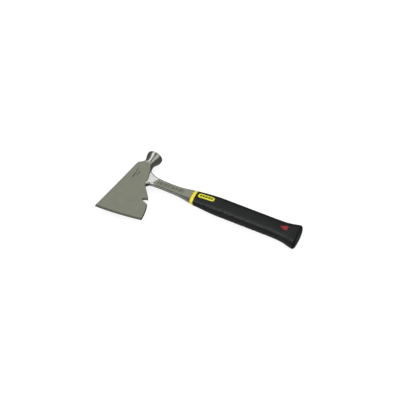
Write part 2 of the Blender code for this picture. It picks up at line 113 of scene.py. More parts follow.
def smooth(a, b, x):
    t = max(0.0, min(1.0, (x - a) / (b - a)))
    return t * t * (3 - 2 * t)


def spread(a, b, step):
    n = max(1, round(abs(b - a) / step))
    return [a + (b - a) * i / n for i in range(n + 1)]


def shade(me, angle):
    """Smooth shading, broken at creases and where one finish meets another."""
    me.shade_smooth()
    me.set_sharp_from_angle(angle=math.radians(angle))
    bm = bmesh.new()
    bm.from_mesh(me)
    for e in bm.edges:
        if len(e.link_faces) == 2 and e.link_faces[0].material_index != e.link_faces[1].material_index:
            e.smooth = False
    bm.to_mesh(me)
    bm.free()


def put(name, bm, mats, angle=30):
    """Links a bmesh, drawn in millimetres of the design frame, in the row frame."""
    for v in bm.verts:
        v.co = row(v.co)
    bmesh.ops.recalc_face_normals(bm, faces=bm.faces)
    if bm.calc_volume(signed=True) < 0:
        bmesh.ops.reverse_faces(bm, faces=bm.faces)
    me = bpy.data.meshes.new(name)
    bm.to_mesh(me)
    bm.free()
    for m in mats if isinstance(mats, (list, tuple)) else [mats]:
        me.materials.append(m)
    shade(me, angle)
    ob = bpy.data.objects.new(name, me)
    bpy.context.scene.collection.objects.link(ob)
    return ob


def apply_all(ob, angle=30):
    """Applies the modifiers, shades it smooth by angle and leaves a plain mesh."""
    bpy.context.view_layer.update()
    dg = bpy.context.evaluated_depsgraph_get()
    me = bpy.data.meshes.new_from_object(ob.evaluated_get(dg), preserve_all_data_layers=True, depsgraph=dg)
    ob.modifiers.clear()
    ob.data = me
    shade(me, angle)
    return ob


def boolean(ob, cutters, op="DIFFERENCE"):
    for c in cutters:
        m = ob.modifiers.new("b", "BOOLEAN")
        m.operation, m.solver, m.object = op, "EXACT", c
        m.material_mode = "TRANSFER"
    apply_all(ob)
    for c in cutters:
        bpy.data.objects.remove(c, do_unlink=True)
    return ob


def loft(rings, cap0="ngon", cap1="ngon", mat=None):
    bm = bmesh.new()
    rows = [[bm.verts.new(p) for p in ring] for ring in rings]
    n = len(rows[0])
    for k, (a, b) in enumerate(zip(rows, rows[1:])):
        for i in range(n):
            j = (i + 1) % n
            f = bm.faces.new((a[i], a[j], b[j], b[i]))
            if mat:
                f.material_index = mat(k, i)
    for r, kind in ((rows[0], cap0), (rows[-1], cap1)):
        if kind == "ngon":
            f = bm.faces.new(r)
            if mat:
                f.material_index = mat(0 if r is rows[0] else len(rows), 0)
        elif kind == "ladder":
            for i in range(n // 2 - 1):
                bm.faces.new((r[i], r[i + 1], r[n - 2 - i], r[n - 1 - i]))
    return bm


def prism(outline, z0, z1):
    bm = bmesh.new()
    face = bm.faces.new([bm.verts.new((x, y, z0)) for x, y in outline])
    out = bmesh.ops.extrude_face_region(bm, geom=[face])
    verts = [g for g in out["geom"] if isinstance(g, bmesh.types.BMVert)]
    bmesh.ops.translate(bm, vec=(0, 0, z1 - z0), verts=verts)
    return bm


# ------------------------------------------------------------------ materials
class Nodes:
    """Small helper for building a procedural material."""

    def __init__(self, name):
        self.mat = bpy.data.materials.new(name)
        self.mat.use_nodes = True
        self.tree = self.mat.node_tree
        self.bsdf = self.tree.nodes["Principled BSDF"]
        self.coord = self.tree.nodes.new("ShaderNodeTexCoord").outputs["Object"]
        self.bumps = []

    def node(self, kind, **values):
        n = self.tree.nodes.new(kind)
        for k, v in values.items():
            setattr(n, k, v)
        return n

    def link(self, a, b):
        if isinstance(a, (int, float)):
            b.default_value = a
        elif isinstance(a, tuple):
            b.default_value = (*a, 1.0) if len(a) == 3 and len(b.default_value) == 4 else a
        else:
            self.tree.links.new(a, b)

    def stretched(self, scale, turn=(0, 0, 0)):
        m = self.node("ShaderNodeMapping")
        self.tree.links.new(self.coord, m.inputs["Vector"])
        m.inputs["Scale"].default_value = scale
        m.inputs["Rotation"].default_value = turn
        return m.outputs["Vector"]

    def noise(self, scale, detail=3.0, rough=0.55, vector=None):
        n = self.node("ShaderNodeTexNoise")
        self.tree.links.new(vector or self.coord, n.inputs["Vector"])
        n.inputs["Scale"].default_value = scale
        n.inputs["Detail"].default_value = detail
        n.inputs["Roughness"].default_value = rough
        return n.outputs["Fac"]

    def cells(self, scale, vector=None, feature="F1"):
        n = self.node("ShaderNodeTexVoronoi", feature=feature)
        self.tree.links.new(vector or self.coord, n.inputs["Vector"])
        n.inputs["Scale"].default_value = scale
        return n.outputs["Distance"]

    def remap(self, x, a, b, c, d, kind="SMOOTHSTEP"):
        n = self.node("ShaderNodeMapRange", interpolation_type=kind)
        self.link(x, n.inputs["Value"])
        for k, v in (("From Min", a), ("From Max", b), ("To Min", c), ("To Max", d)):
            n.inputs[k].default_value = v
        return n.outputs["Result"]

    def axis(self, which):
        n = self.node("ShaderNodeSeparateXYZ")
        self.tree.links.new(self.coord, n.inputs[0])
        return n.outputs[which]

    def math(self, op, a, b=0.0):
        n = self.node("ShaderNodeMath", operation=op)
        self.link(a, n.inputs[0])
        self.link(b, n.inputs[1])
        return n.outputs[0]

    def mix(self, f, a, b):
        n = self.node("ShaderNodeMix", data_type="RGBA")
        self.link(f, n.inputs[0])
        self.link(a, n.inputs[6])
        self.link(b, n.inputs[7])
        return n.outputs[2]

    def mixf(self, f, a, b):
        n = self.node("ShaderNodeMix", data_type="FLOAT")
        self.link(f, n.inputs[0])
        self.link(a, n.inputs[2])
        self.link(b, n.inputs[3])
        return n.outputs[0]

    def bump(self, height, distance, strength=1.0):
        n = self.node("ShaderNodeBump")
        n.inputs["Distance"].default_value = distance
        n.inputs["Strength"].default_value = strength
        self.link(height, n.inputs["Height"])
        if self.bumps:
            self.tree.links.new(self.bumps[-1], n.inputs["Normal"])
        self.bumps.append(n.outputs["Normal"])

    def done(self, colour, rough, metal=0.0, **sockets):
        self.link(colour, self.bsdf.inputs["Base Color"])
        self.link(rough, self.bsdf.inputs["Roughness"])
        self.bsdf.inputs["Metallic"].default_value = metal
        for k, v in sockets.items():
            self.bsdf.inputs[k.replace("_", " ")].default_value = v
        if self.bumps:
            self.tree.links.new(self.bumps[-1], self.bsdf.inputs["Normal"])
        return self.mat


def row_y(y):
    return (y + ORIGIN.y) * MM


def row_x(x):
    return (x + ORIGIN.x) * MM


def steel(name, base, rough, grain=(60, 1400, 400), vary=0.10, polish=None, painted_crook_light=None, relief=1.0):
    """Ground steel: streaks along the grinding direction, faint blotches of the clear
    coat, and scuffs that catch the light.  polish = (y0, y1, colour, roughness)
    turns it into bright turned steel towards the poll; painted_crook_light = (x0, x1, colour)
    paints light into the crook next to the head: that colour up to x0, blended back to
    the steel by x1 (painted shade on the rim, a painted highlight on the corner)."""
    n = Nodes(name)
    streak = n.noise(1.0, 4.0, 0.65, n.stretched(grain))
    blotch = n.noise(55, 3.0, 0.5)
    speck = n.noise(900, 2.0, 0.6)
    dark = tuple(c * (1 - vary) for c in base)
    light = tuple(min(1.0, c * (1 + vary)) for c in base)
    colour = n.mix(n.remap(streak, 0.3, 0.7, 0, 1), dark, light)
    colour = n.mix(n.remap(blotch, 0.35, 0.7, 0, 0.5), colour, tuple(c * 0.93 for c in base))
    # painted shade and highlight: the given colour near the head, blended to the steel's own colour by x1
    if painted_crook_light:
        x0, x1, painted_tone = painted_crook_light
        colour = n.mix(n.remap(n.axis("X"), row_x(x0), row_x(x1), 0, 1), painted_tone, colour)
    r = n.math("ADD", n.remap(streak, 0.25, 0.75, rough - 0.06, rough + 0.07),
               n.remap(speck, 0.4, 0.75, 0.0, 0.05))
    if polish:
        y0, y1, bright, smoothness = polish
        k = n.remap(n.axis("Y"), row_y(y0), row_y(y1), 0, 1)
        ring = n.noise(1.0, 3.0, 0.5, n.stretched((25, 1500, 25)))
        shine = n.mix(n.remap(ring, 0.3, 0.7, 0, 1), tuple(c * 0.95 for c in bright), bright)
        colour = n.mix(k, colour, shine)
        r = n.mixf(k, r, n.remap(ring, 0.3, 0.7, smoothness, smoothness + 0.05))
    n.bump(streak, 0.00003 * relief, 0.5)
    n.bump(speck, 0.00002 * relief, 0.5)
    return n.done(colour, r, 1.0)


def build_materials():
    M = {}
    M["cheek"] = steel("steel_cheek", (0.272, 0.280, 0.222), 0.42,
                       polish=(27.3, 36.5, (0.57, 0.57, 0.535), 0.20))
    M["bevel"] = steel("steel_bevel", (0.110, 0.112, 0.090), 0.34, grain=(1500, 80, 300))
    M["side"] = steel("steel_side", (0.40, 0.40, 0.355), 0.38, grain=(300, 300, 1800),
                      polish=(24.0, 34.0, (0.57, 0.57, 0.535), 0.20))
    M["web"] = steel("steel_web", (0.575, 0.575, 0.555), 0.24, grain=(1500, 120, 400), vary=0.03, relief=0.2)
    M["shank"] = steel("steel_shank", (0.34, 0.35, 0.285), 0.44, grain=(90, 1300, 500))
    # painted shade: the shank's narrow walls are near-black in the crook up to x=17, blending back by x=26
    M["rim"] = steel("steel_rim", (0.50, 0.50, 0.46), 0.36, grain=(60, 1300, 1300),
                     painted_crook_light=(17.0, 26.0, (0.03, 0.03, 0.027)))
    # painted highlight: the dark rounded corners turn light steel in the crook up to x=24, blending back by x=32
    M["corner"] = steel("steel_corner", (0.15, 0.15, 0.135), 0.36, grain=(60, 1300, 1300),
                        painted_crook_light=(24.0, 32.0, (0.42, 0.42, 0.385)))
    M["etch"] = steel("steel_etched", (0.205, 0.21, 0.17), 0.55, vary=0.15)
    M["etch_dark"] = steel("steel_etched_dark", (0.075, 0.078, 0.058), 0.55, vary=0.20)

    n = Nodes("grip_rubber")                      # moulded rubber with a fine stipple
    pits = n.cells(1500)
    soft = n.noise(420, 3.0, 0.6)
    wide = n.noise(45, 2.0, 0.5)
    colour = n.mix(n.remap(wide, 0.3, 0.7, 0, 1), (0.0036, 0.0042, 0.0042), (0.0054, 0.0062, 0.0062))
    colour = n.mix(n.remap(soft, 0.55, 0.8, 0, 0.5), colour, (0.0095, 0.0105, 0.0105))
    n.bump(pits, 0.00012, 0.55)
    n.bump(soft, 0.00010, 0.5)
    M["rubber"] = n.done(colour, n.remap(soft, 0.3, 0.7, 0.40, 0.50), 0.0, Specular_IOR_Level=0.32)

    def plastic(name, base, edge, rough, coat=0.25):
        n = Nodes(name)
        wide = n.noise(120, 3.0, 0.5)
        fine = n.noise(1800, 2.0, 0.6)
        colour = n.mix(n.remap(wide, 0.3, 0.75, 0, 1), base, edge)
        n.bump(fine, 0.00003, 0.4)
        return n.done(colour, n.remap(fine, 0.3, 0.7, rough - 0.04, rough + 0.06), 0.0,
                      Coat_Weight=coat, Coat_Roughness=0.15)

    M["yellow"] = plastic("collar_yellow", (0.595, 0.508, 0.026), (0.57, 0.48, 0.025), 0.38)
    M["badge"] = plastic("badge_yellow", (0.56, 0.54, 0.008), (0.50, 0.48, 0.008), 0.42, 0.0)
    M["motif"] = plastic("badge_motif", (0.045, 0.041, 0.003), (0.048, 0.043, 0.004), 0.50, 0.0)
    M["red"] = plastic("marker_red", (0.240, 0.006, 0.013), (0.190, 0.004, 0.009), 0.46, 0.0)
    M["red_dark"] = plastic("marker_red_dark", (0.16, 0.008, 0.014), (0.12, 0.005, 0.010), 0.40)
    M["core"] = plastic("core_nylon", (0.70, 0.56, 0.10), (0.60, 0.48, 0.08), 0.45, 0.0)
    M["damper"] = plastic("damper_elastomer", (0.10, 0.10, 0.11), (0.07, 0.07, 0.08), 0.70, 0.0)
    M["plug"] = plastic("plug_nylon", (0.020, 0.021, 0.022), (0.030, 0.031, 0.032), 0.45, 0.0)
    return M


M = build_materials()

# ------------------------------------------------------------------ the head
FRONT = [(-93, -40.1), (-60, -34.3), (-30, -28.7), (0, -23.1), (19, -19.6),
         (22.0, -18.8), (24.3, -17.2), (26.6, -14.7), (29.0, -12.7), (32.0, -11.5),
         (35.0, -11.0), (38.0, -11.0), (41.0, -11.6), (45.0, -13.0), (49.0, -13.8),
         (60, -13.8)]
BACK = [(-84.5, 46.3), (-71, 44.8), (-58, 42.0), (-48, 38.6), (-39.6, 35.6),
        (-27.7, 26.9), (-20.3, 20.9), (-14.5, 16.7), (-11.0, 15.5), (-7.0, 15.6),
        (-3.0, 15.4), (2.0, 14.1), (8.3, 12.1), (16.0, 10.4), (19.5, 9.6),
        (23.0, 8.4), (27.0, 7.8), (31.0, 7.9), (35.0, 8.9), (38.0, 10.2),
        (41.5, 12.0), (45.0, 14.0), (49.0, 15.0), (60, 15.0)]
ROUND_H = [(19, 8.1), (24, 8.8), (28, 9.2), (33, 9.5), (36, 10.0), (39, 11.2),
           (42, 12.4), (45, 13.6), (49, 14.4), (60, 14.4)]
FRONT_ROUND = [(25.5, 0.0), (29.0, 0.35), (33.0, 0.85), (37.0, 1.0)]
BACK_ROUND = [(17.5, 0.0), (21.0, 0.25), (25.0, 0.5), (30.0, 0.8), (35.0, 1.0)]
ARRIS = 0.7


def cheek(y):
    s = y - (EDGE_HEEL[1] - 1.8)
    h = BLADE_HALF + CHEEK_A * s + CHEEK_B * s * s
    if y > CHEEK_RUNOUT_Y:
        h += 0.11 * (y - CHEEK_RUNOUT_Y) ** 2
    return h


def rounding(xe, h, hz, full):
    crown = h + (hz - h) * full
    rz = min(crown, ARRIS + (hz - ARRIS) * full)
    return crown, ARRIS + (abs(xe) - ARRIS) * full, rz


def side(xe, h, hz, full, out, m):
    crown, rx, rz = rounding(xe, h, hz, full)
    start = math.asin(min(0.88, max(0.05, (h - (crown - rz)) / rz)))
    pts = []
    for i in range(2 * m):
        a = start * (1 - 2 * i / (2 * m - 1))
        z = math.copysign(crown - rz, a) + rz * math.sin(a)
        pts.append((xe - out * rx * (1 - math.cos(a)), z))
    return pts


def head_ring(yf, yb, m, flat, bow=0.0, thick=None):
    xf, xb = table(FRONT, yf), table(BACK, yb)
    hz = table(ROUND_H, (yf + yb) / 2)
    full_f, full_b = table(FRONT_ROUND, yf), table(BACK_ROUND, yb)

    def half(y):
        h = cheek(y) if thick is None else thick
        return min(h, hz) if full_f > 0 or full_b > 0 else h

    def point(x, z=None):
        t = (x - xf) / (xb - xf)
        y = yf + (yb - yf) * t - bow * 4 * t * (1 - t)
        if z is None:
            z = half(y)
            for xe, full, out in ((xf, full_f, -1), (xb, full_b, 1)):
                crown, rx, rz = rounding(xe, z, hz, full)
                u = 1 - (xe - x) * out / rx
                if u > 0:
                    z = min(z, crown - rz + rz * math.sqrt(max(0.0, 1 - u * u)))
        return Vector((x, y, z))

    back = side(xb, half(yb), hz, full_b, 1, m)
    front = side(xf, half(yf), hz, full_f, -1, m)
    xa, xc = front[0][0], back[0][0]
    line = min(0.75, (xc - xa) * 0.02)             # a narrow strip along the back edge
    cheeks = [point(xa + (xc - line - xa) * i / flat) for i in range(1, flat + 1)]
    ring = [p.copy() for p in cheeks]
    ring += [point(x, z) for x, z in back]
    ring += [Vector((p.x, p.y, -p.z)) for p in reversed(cheeks)]
    ring += [point(x, z) for x, z in reversed(front)]
    return ring


M_HEAD, FLAT_HEAD = 9, 30
N_RING = 2 * FLAT_HEAD + 4 * M_HEAD


def head():
    m, flat = M_HEAD, FLAT_HEAD
    rings = []
    # the striking face and its bevel are turned, very slightly crowned
    for y, r in ((POLL_FACE_Y, POLL_R * 0.55), (POLL_FACE_Y, POLL_R - POLL_CHAMFER - 0.25),
                 (POLL_FACE_Y - 0.05, POLL_R - POLL_CHAMFER),
                 (POLL_FACE_Y - POLL_CHAMFER * 0.65, POLL_R - 0.12),
                 (POLL_FACE_Y - POLL_CHAMFER * 0.85, POLL_R)):
        ring = head_ring(50.0, 50.0, m, flat)
        rings.append([Vector((POLL_X + (p.x - POLL_X) * r / POLL_R, y, p.z * r / POLL_R)) for p in ring])
    ys = spread(51.0, 20.0, 0.6) + spread(19.2, -34.0, 1.4)
    for y in ys:
        rings.append(head_ring(y, y, m, flat))
    (tx, ty), (hx, hy) = EDGE_TOE, EDGE_HEEL
    for i in range(1, 25):
        k = i / 25
        rings.append(head_ring(-34 + (ty + BEVEL_W + 34) * k, -34 + (hy + BEVEL_W + 34) * k,
                               m, flat, bow=EDGE_BOW * k))
    first_bevel = len(rings)
    for i in range(6):                             # the ground bevel, slightly convex
        k = i / 5
        t = BLADE_HALF + (EDGE_HALF + 0.0 - BLADE_HALF) * (k ** 1.15)
        ring = head_ring(ty + BEVEL_W * (1 - k), hy + BEVEL_W * (1 - k), m, flat, bow=EDGE_BOW,
                         thick=max(t, ARRIS + 0.02))
        f = t / max(t, ARRIS + 0.02)
        for p in ring:
            p.z *= f
        rings.append(ring)
    rings = [r[-m:] + r[:-m] for r in rings]

    def slot(k, i):
        # i counts from the front crease: m front points, cheek, back side, cheek, front
        up = m <= i + 1 and i < m + flat + 0
        down = m + flat + 2 * m - 1 <= i < m + 2 * flat + 2 * m
        on_cheek = up or down
        if k >= first_bevel:
            return 1 if on_cheek else 2
        arris = m + flat - 1 <= i < m + flat + m - 1 or m + flat + m <= i < m + flat + 2 * m
        if arris and k >= first_bevel - 16:        # painted shade: the dark bevel steel along the back arris of the heel
            return 1
        return 0 if on_cheek else 2

    return loft(rings, "ngon", "ladder", slot)


# ------------------------------------------------------------------ shank and tang
TOP = [(4.5, 24.9), (8.4, 24.6), (9.3, 21.7), (11, 18.9), (13.4, 16.4), (17, 13.8), (21, 11.9), (26, 10.2),
       (31.7, 9.1), (40, 8.1), (50, 7.6), (60, 7.4), (70, 7.6), (80, 8.5), (90, 9.9),
       (96, 10.9), (SHOULDER_X, 11.7)]
BOTTOM = [(4.5, -15.6), (8, -15.5), (15.5, -15.0), (16.8, -13.2), (18, -11.6), (20, -9.8), (22, -8.8), (26, -7.9),
          (31.7, -7.5), (40, -7.3), (50, -7.4), (60, -7.6), (70, -8.0), (80, -8.8), (90, -10.3),
          (96, -11.4), (SHOULDER_X, -12.2)]
THICK = [(4.5, 3.6), (8, 4.1), (12, 4.4), (16, 4.55), (20, 4.6), (60, 4.6), (80, 5.0),
         (90, 5.5), (96, 5.95), (SHOULDER_X, 6.3)]
CORNER = [(4.5, 1.4), (8.4, 2.4), (11, 2.8), (24, 2.8), (34, 2.2), (60, 2.0), (80, 2.4), (90, 2.8),
          (SHOULDER_X, 3.6)]
WEB_FILLET = 1.2


def web_lift(x, y):
    """How far the web stands above the shank's own thickness: a small fillet carries it
    part of the way up the step at the back of each cheek."""
    xb = table(BACK, y)
    u = max(0.0, min(1.0, (x - xb) / WEB_FILLET))
    rise = 0.55 * (cheek(y) - table(THICK, x)) - 0.1
    return rise * (1 - u) ** 2.2 * (1 - smooth(13.0, 19.0, y))


def section(x, y0, y1, t, r, k, flat, lift=None):
    """A rounded rectangle across the handle, with flat sides split for shape."""
    pts = []
    corners = ((y1 - r, t - r, 0), (y0 + r, t - r, 90), (y0 + r, -t + r, 180), (y1 - r, -t + r, 270))
    for c, (cy, cz, a0) in enumerate(corners):
        arc = [(cy + r * math.cos(math.radians(a0 + 90 * i / (k - 1))),
                cz + r * math.sin(math.radians(a0 + 90 * i / (k - 1)))) for i in range(k)]
        pts += arc
        nx = corners[(c + 1) % 4]
        end = (nx[0] + r * math.cos(math.radians(nx[2])), nx[1] + r * math.sin(math.radians(nx[2])))
        count = flat if c in (0, 2) else 3
        for i in range(1, count):
            f = i / count
            pts.append((arc[-1][0] + (end[0] - arc[-1][0]) * f, arc[-1][1] + (end[1] - arc[-1][1]) * f))
    out = []
    for y, z in pts:
        if lift:
            z += (1 if z >= 0 else -1) * lift(x, y) * min(1.0, abs(z) / max(t - r, 0.1))
        out.append(Vector((x, y, z)))
    return out


def shank():
    k, flat = 8, 36
    rings = []
    xs = spread(4.5, 8.4, 1.3)[:-1] + spread(8.4, 20, 0.3)[:-1] + spread(20, 34, 0.8)[:-1] + spread(34, SHOULDER_X, 1.6)
    for x in xs:
        rings.append(section(x, table(BOTTOM, x), table(TOP, x), table(THICK, x), table(CORNER, x),
                             k, flat, web_lift))
    visible = len(rings)
    for x, w, t, r in ((SHOULDER_X + 0.2, 10.6, 5.4, 2.6), (106.5, 10.4, 5.2, 2.4),
                       (110, 9.6, 4.6, 1.8), (114, TANG_HALF_W, TANG_HALF_T, 1.4),
                       (205, TANG_HALF_W, TANG_HALF_T, 1.4), (213, FORK_HALF_W, TANG_HALF_T, 1.4),
                       (FORK_X1 - 3, FORK_HALF_W, TANG_HALF_T, 1.4),
                       (FORK_X1, FORK_HALF_W - 1.5, TANG_HALF_T - 1.0, 1.0)):
        rings.append(section(x, -w, w, t, r, k, flat))
    # which steps of the ring lie on a corner arc, and which on the two cheek-side faces
    corner_of, flat_of = [], []
    for c in range(4):
        count = flat if c in (0, 2) else 3
        corner_of += [True] * (k - 1) + [False] * count
        flat_of += [False] * (k - 1) + [c in (0, 2)] * count

    def slot(kk, i):
        x = xs[kk] if kk < len(xs) else 200
        p = rings[min(kk, len(rings) - 1)][i]
        # the bright web runs out along a slanted line that the etched face starts from
        run_out = 29.6 + 0.5 * p.y + 0.02 * p.y * abs(p.y)
        if corner_of[i]:
            return 2
        if flat_of[i]:
            return 0 if x < run_out else 3
        return 1

    return loft(rings, "ngon", "ngon", slot)


NOTCH = [(60, -28.0), (28.2, -41.5), (27.4, -41.85), (26.8, -42.4), (26.45, -43.1), (26.4, -43.9),
         (26.7, -44.8), (27.15, -45.5), (27.8, -46.15), (28.6, -46.6), (29.5, -47.0), (60, -59.2)]


def ellipse_hole(x, r, n=24):
    return [(x + r * math.cos(2 * math.pi * i / n), r * math.sin(2 * math.pi * i / n)) for i in range(n)]


PANEL_DEPTH = 0.40


def panel_outline():
    """The sunk face of the shank: slanted front end, square-ish rear end."""
    top, bot = [], []
    for x in spread(27.0, 92.0, 1.5):
        rim = 1.75
        t, b = table(TOP, x) - rim, table(BOTTOM, x) + rim
        if x > 90:
            t, b = t - (x - 90) * 1.2, b + (x - 90) * 1.2
        if x >= 33.2:
            top.append((x, t))
        if x >= 27.0:
            bot.append((x, b))
    return top, bot


def panel_cutter(sgn):
    top, bot = panel_outline()
    front = [(32.2, top[0][1] - 0.5), (31.0, 4.2), (30.0, 2.2), (29.0, 0.2), (28.0, -1.8), (27.3, -3.6),
             (26.8, -5.2)]
    outline = list(reversed(top)) + front + bot
    bm = bmesh.new()
    lo, hi = [], []
    for x, y in outline:
        z = table(THICK, x) - PANEL_DEPTH
        lo.append(bm.verts.new((x, y, sgn * z)))
        hi.append(bm.verts.new((x, y, sgn * (z + 4))))
    n = len(outline)
    for i in range(n):
        j = (i + 1) % n
        f = bm.faces.new((lo[i], lo[j], hi[j], hi[i]))
    for r in (lo, hi):
        f = bm.faces.new(r)
    bmesh.ops.triangulate(bm, faces=[f for f in bm.faces if len(f.verts) > 4])
    return bm


forging = put("hatchet_forging", head(), [M["cheek"], M["bevel"], M["side"]])
shank_ob = put("tmp_shank", shank(), [M["web"], M["rim"], M["corner"], M["shank"]])
boolean(forging, [shank_ob], "UNION")
slot_outline = [(300, -FORK_SLOT_HALF), (300, FORK_SLOT_HALF)]
slot_outline += [(FORK_X0 + FORK_SLOT_HALF - FORK_SLOT_HALF * math.sin(math.radians(a)),
                  FORK_SLOT_HALF * math.cos(math.radians(a))) for a in range(0, 181, 10)]
cuts = [put("tmp_notch", prism(NOTCH, -12, 12), M["side"]),
        put("tmp_slot", prism(slot_outline, -12, 12), M["side"])]
cuts += [put(f"tmp_hole{i}", prism(ellipse_hole(x, TANG_HOLE_R), -12, 12), M["side"])
         for i, x in enumerate(TANG_HOLES)]
cuts += [put(f"tmp_panel{s}", panel_cutter(s), M["shank"]) for s in (1, -1)]
boolean(forging, cuts)

# ------------------------------------------------------------------ the grip
GRIP_A = [(101, 13.0), (GRIP_X0, 13.7), (114, 14.0), (120, 14.4), (130, 15.1), (140, 15.7),
          (150, 16.1), (250, 16.1), (262, 16.3), (270, 16.8), (278, 17.9), (285, 19.5),
          (291, 21.0), (294.5, 21.6), (GRIP_X1, 21.6)]
GRIP_B = [(101, 8.4), (GRIP_X0, 9.4), (114, 10.2), (120, 10.9), (130, 11.9), (140, 12.7),
          (150, 13.2), (160, 13.4), (250, 13.4), (270, 13.6), (280, 14.3), (288, 15.4),
          (294.5, 16.2), (GRIP_X1, 16.2)]
CORE_A = [(GRIP_X0, 11.5), (120, 11.8), (140, 12.3), (160, 12.6), (250, 12.6), (286, 12.9)]
CORE_B = [(GRIP_X0, 6.7), (120, 7.8), (140, 9.2), (160, 9.9), (250, 9.9), (286, 10.2)]
AXIS_Y = [(96, -0.35), (107, -0.35), (118, -0.1), (126, 0.0), (256, 0.0), (275, -0.3),
          (291, -0.75), (GRIP_X1, -0.75)]
BUTT_Y = AXIS_Y[-1][1]
PLUG_A, PLUG_B = 10.5, 7.4
LIP_X = 292.0
BOX_SHRINK = 0.9941      # the CAD's facets stay inside the full oval by this much


def oval(x, a, b, n, groove=0.0, yc=0.0):
    pts = []
    e = 2.0 / SUPER_N
    for i in range(n):
        t = 2 * math.pi * (i + 0.5) / n
        c, s = math.cos(t), math.sin(t)
        y = a * math.copysign(abs(c) ** e, c)
        z = b * math.copysign(abs(s) ** e, s)
        if groove and c < 0.1:
            k = groove * smooth(-0.40, -0.80, c) * (1 - 0.8 * smooth(-0.90, -1.0, c))
            y *= 1 - k / a
            z *= 1 - k / b
        pts.append(Vector((x, yc + y, z)))
    return pts


def groove_at(x):
    d = 0.0
    for g in FINGER_GROOVES:
        u = abs(x - g) / GROOVE_HALF
        if u < 1:
            d = max(d, GROOVE_DEPTH * (1 - u * u) ** 1.5)
    return d


def lip_at(x):
    """A fine moulded line round the flare."""
    u = abs(x - LIP_X) / 0.7
    return 0.28 * (1 - u * u) ** 1.5 if u < 1 else 0.0


def grip_solid(n=144):
    rings = []
    for deg in (0, 25, 50, 75):                    # small rounding at the front end
        a = math.radians(deg)
        x = GRIP_X0 + 0.8 * (1 - math.cos(a))
        d = 0.8 * (1 - math.sin(a))
        rings.append(oval(x, table(GRIP_A, x) - d, table(GRIP_B, x) - d, n, 0, table(AXIS_Y, x)))
    xs = spread(GRIP_X0 + 1.0, 160.0, 1.2)
    for x in spread(160.5, 250.0, 0.5):
        if any(abs(x - g) <= GROOVE_HALF + 0.4 for g in FINGER_GROOVES) or abs(x - round(x)) < 1e-6 and round(x) % 2 == 0:
            xs.append(x)
    xs += spread(251.2, 290.8, 1.1) + spread(291.1, 292.9, 0.2) + spread(293.2, 294.6, 0.5)
    for x in xs:
        d = lip_at(x)
        rings.append(oval(x, table(GRIP_A, x) - d, table(GRIP_B, x) - d, n, groove_at(x), table(AXIS_Y, x)))
    r = 4.4
    for deg in range(4, 90, 7):
        a = math.radians(deg)
        x = GRIP_X1 - r + r * math.sin(a)
        d = r * (1 - math.cos(a))
        rings.append(oval(x, table(GRIP_A, x) - d, table(GRIP_B, x) - d, n, 0, BUTT_Y))
    rings.append(oval(GRIP_X1, 16.9, 11.5, n, 0, BUTT_Y))
    for ring in rings:                             # stay inside the faceted box
        for p in ring:
            p.z *= BOX_SHRINK
    return loft(rings)


def core_solid(n, x0, x1, grow):
    xs = [x0] + [x for x in (114, 120, 130, 140, 150, 160, 250) if x0 < x < x1] + [x1]
    return loft([oval(x, table(CORE_A, x) + grow, table(CORE_B, x) + grow, n) for x in xs])


def height(x, y):
    a, b, yc = table(GRIP_A, x), table(GRIP_B, x), table(AXIS_Y, x)
    return BOX_SHRINK * b * max(0.0, 1 - abs((y - yc) / a) ** SUPER_N) ** (1 / SUPER_N)


def outline_stadium(x0, x1, yc, h, r, n=10):
    pts = []
    for cx, cy, a0 in ((x1 - r, yc + h - r, 0), (x0 + r, yc + h - r, 90), (x0 + r, yc - h + r, 180),
                       (x1 - r, yc - h + r, 270)):
        for i in range(n):
            a = math.radians(a0 + 90 * i / (n - 1))
            pts.append((cx + r * math.cos(a), cy + r * math.sin(a)))
    return resample(pts, 96)


def outline_mark(x0, x1, yc, h, n=96):
    """A rounded triangle, its point towards the head."""
    corners = [(x0 + 1.6, yc, 1.5), (x1 - 3.0, yc - h + 2.9, 2.9), (x1 - 3.0, yc + h - 2.9, 2.9)]
    pts = []
    m = len(corners)
    for i, (cx, cy, r) in enumerate(corners):
        px, py, pr = corners[i - 1]
        nx, ny, nr = corners[(i + 1) % m]

        def normal_of(ax, ay, ar, bx, by, br):
            dx, dy = bx - ax, by - ay
            d = math.hypot(dx, dy)
            base = math.atan2(dy, dx) - math.pi / 2
            return base + math.asin((ar - br) / d) * -1

        a0 = normal_of(px, py, pr, cx, cy, r)
        a1 = normal_of(cx, cy, r, nx, ny, nr)
        while a1 < a0:
            a1 += 2 * math.pi
        for j in range(14):
            a = a0 + (a1 - a0) * j / 13
            pts.append((cx + r * math.cos(a), cy + r * math.sin(a)))
    return resample(pts, n)


def resample(pts, n):
    lens = [0.0]
    for i in range(len(pts)):
        a, b = pts[i], pts[(i + 1) % len(pts)]
        lens.append(lens[-1] + math.hypot(b[0] - a[0], b[1] - a[1]))
    out, k = [], 0
    for i in range(n):
        s = lens[-1] * i / n
        while lens[k + 1] < s:
            k += 1
        a, b = pts[k % len(pts)], pts[(k + 1) % len(pts)]
        f = (s - lens[k]) / max(1e-9, lens[k + 1] - lens[k])
        out.append((a[0] + (b[0] - a[0]) * f, a[1] + (b[1] - a[1]) * f))
    return out


def inset(outline, d):
    """The outline moved inwards by d (outwards if negative)."""
    n = len(outline)
    out = []
    for i in range(n):
        ax, ay = outline[i - 1]
        bx, by = outline[(i + 1) % n]
        tx, ty = bx - ax, by - ay
        t = math.hypot(tx, ty)
        out.append((outline[i][0] - ty / t * d, outline[i][1] + tx / t * d))
    return out


